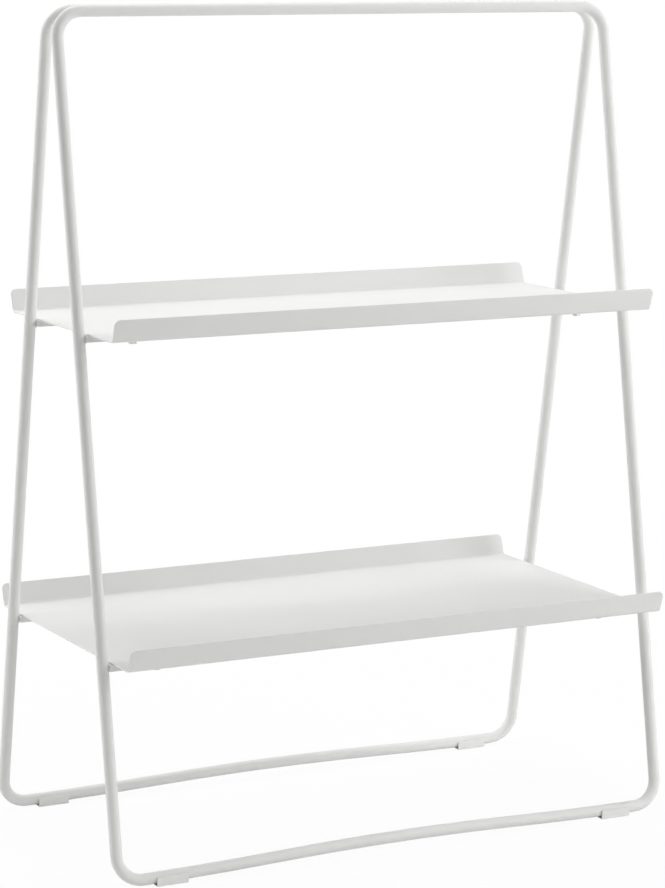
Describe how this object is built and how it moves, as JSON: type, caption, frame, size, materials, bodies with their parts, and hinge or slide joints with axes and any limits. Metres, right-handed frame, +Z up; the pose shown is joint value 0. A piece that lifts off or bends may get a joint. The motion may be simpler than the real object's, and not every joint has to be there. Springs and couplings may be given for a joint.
{
  "type": "a-frame shelf",
  "caption": "Free-standing a-frame shelf of bent steel tube loops that lean together, carrying folded sheet trays with flared front and back edges.",
  "frame": {"origin": "on the floor, under the middle of the shelf", "axes": "+X along the trays to the right, +Y from the front to the back, +Z up"},
  "size_m": [0.644, 0.3396, 0.8603],
  "materials": {
    "white_powder_coat": "white powder coat, satin, very fine orange peel",
    "glide_plastic": "pale grey moulded plastic, matt",
    "zinc_fasteners": "bright zinc plated steel"
  },
  "bodies": {
    "root": {"front_frame": "white_powder_coat", "back_frame": "white_powder_coat", "upper_tray": "white_powder_coat", "upper_front_left_bracket": "white_powder_coat", "upper_front_right_bracket": "white_powder_coat", "upper_back_left_bracket": "white_powder_coat", "upper_back_right_bracket": "white_powder_coat", "upper_tray_studs": "zinc_fasteners", "upper_tray_washers": "zinc_fasteners", "upper_tray_nuts": "zinc_fasteners", "lower_tray": "white_powder_coat", "lower_front_left_bracket": "white_powder_coat", "lower_front_right_bracket": "white_powder_coat", "lower_back_left_bracket": "white_powder_coat", "lower_back_right_bracket": "white_powder_coat", "lower_tray_studs": "zinc_fasteners", "lower_tray_washers": "zinc_fasteners", "lower_tray_nuts": "zinc_fasteners", "front_left_glide": "glide_plastic", "front_right_glide": "glide_plastic", "back_left_glide": "glide_plastic", "back_right_glide": "glide_plastic", "left_top_spacer": "white_powder_coat", "left_saddle_washer": "white_powder_coat", "left_threaded_bush": "zinc_fasteners", "left_top_screw": "zinc_fasteners", "right_top_spacer": "white_powder_coat", "right_saddle_washer": "white_powder_coat", "right_threaded_bush": "zinc_fasteners", "right_top_screw": "zinc_fasteners"}
  },
  "joints": []
}
